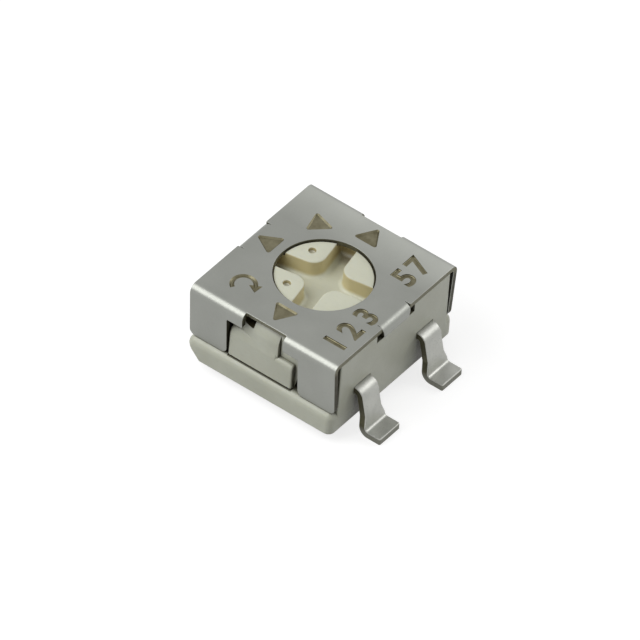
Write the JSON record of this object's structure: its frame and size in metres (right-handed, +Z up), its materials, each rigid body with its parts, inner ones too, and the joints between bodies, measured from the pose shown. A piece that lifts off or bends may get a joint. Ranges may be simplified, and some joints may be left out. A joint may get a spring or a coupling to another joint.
{
  "type": "trimmer potentiometer",
  "caption": "Sealed single-turn trimmer potentiometer for surface mounting: moulded body, folded metal cover with a round hole, cross-slot rotor and gull-wing leads.",
  "frame": {"origin": "on the board's surface, under the rotor's axis, at the middle of the leads' footprint", "axes": "+Z up along the rotor's axis, -Y towards the two end terminals, +Y towards the wiper terminal, X across the cover's folded sides"},
  "size_m": [0.0044, 0.0058, 0.0024],
  "materials": {
    "body_plastic": "matt moulded, pale cream",
    "cover_steel": "satin stainless sheet",
    "rotor_plastic": "matt moulded, pale cream",
    "seal_rubber": "silicone rubber",
    "wiper_spring": "bright spring alloy",
    "alumina": "fired, matt white",
    "resistor_print": "fired thick film, near black",
    "conductor_print": "fired silver-palladium film",
    "tinned_strip": "tin plated, satin",
    "solder": "bright solder",
    "sealing_compound": "cast epoxy"
  },
  "bodies": {
    "base": {"housing": "body_plastic", "cover": "cover_steel", "seal_ring": "seal_rubber", "substrate": "alumina", "resistive_track": "resistor_print", "collector_pad": "conductor_print", "end_pad_1": "conductor_print", "end_pad_3": "conductor_print", "terminal_1": "tinned_strip", "terminal_2": "tinned_strip", "terminal_3": "tinned_strip", "solder_1": "solder", "solder_2": "solder", "solder_3": "solder", "back_seal": "sealing_compound"},
    "turning": {"rotor": "rotor_plastic", "wiper": "wiper_spring"}
  },
  "joints": [
    {"name": "rotor_turn", "type": "hinge", "parent": "base", "child": "turning", "pos_m": [0, 0, 0.0022], "axis": [0, 0, 1], "range_deg": [-115, 95]}
  ]
}
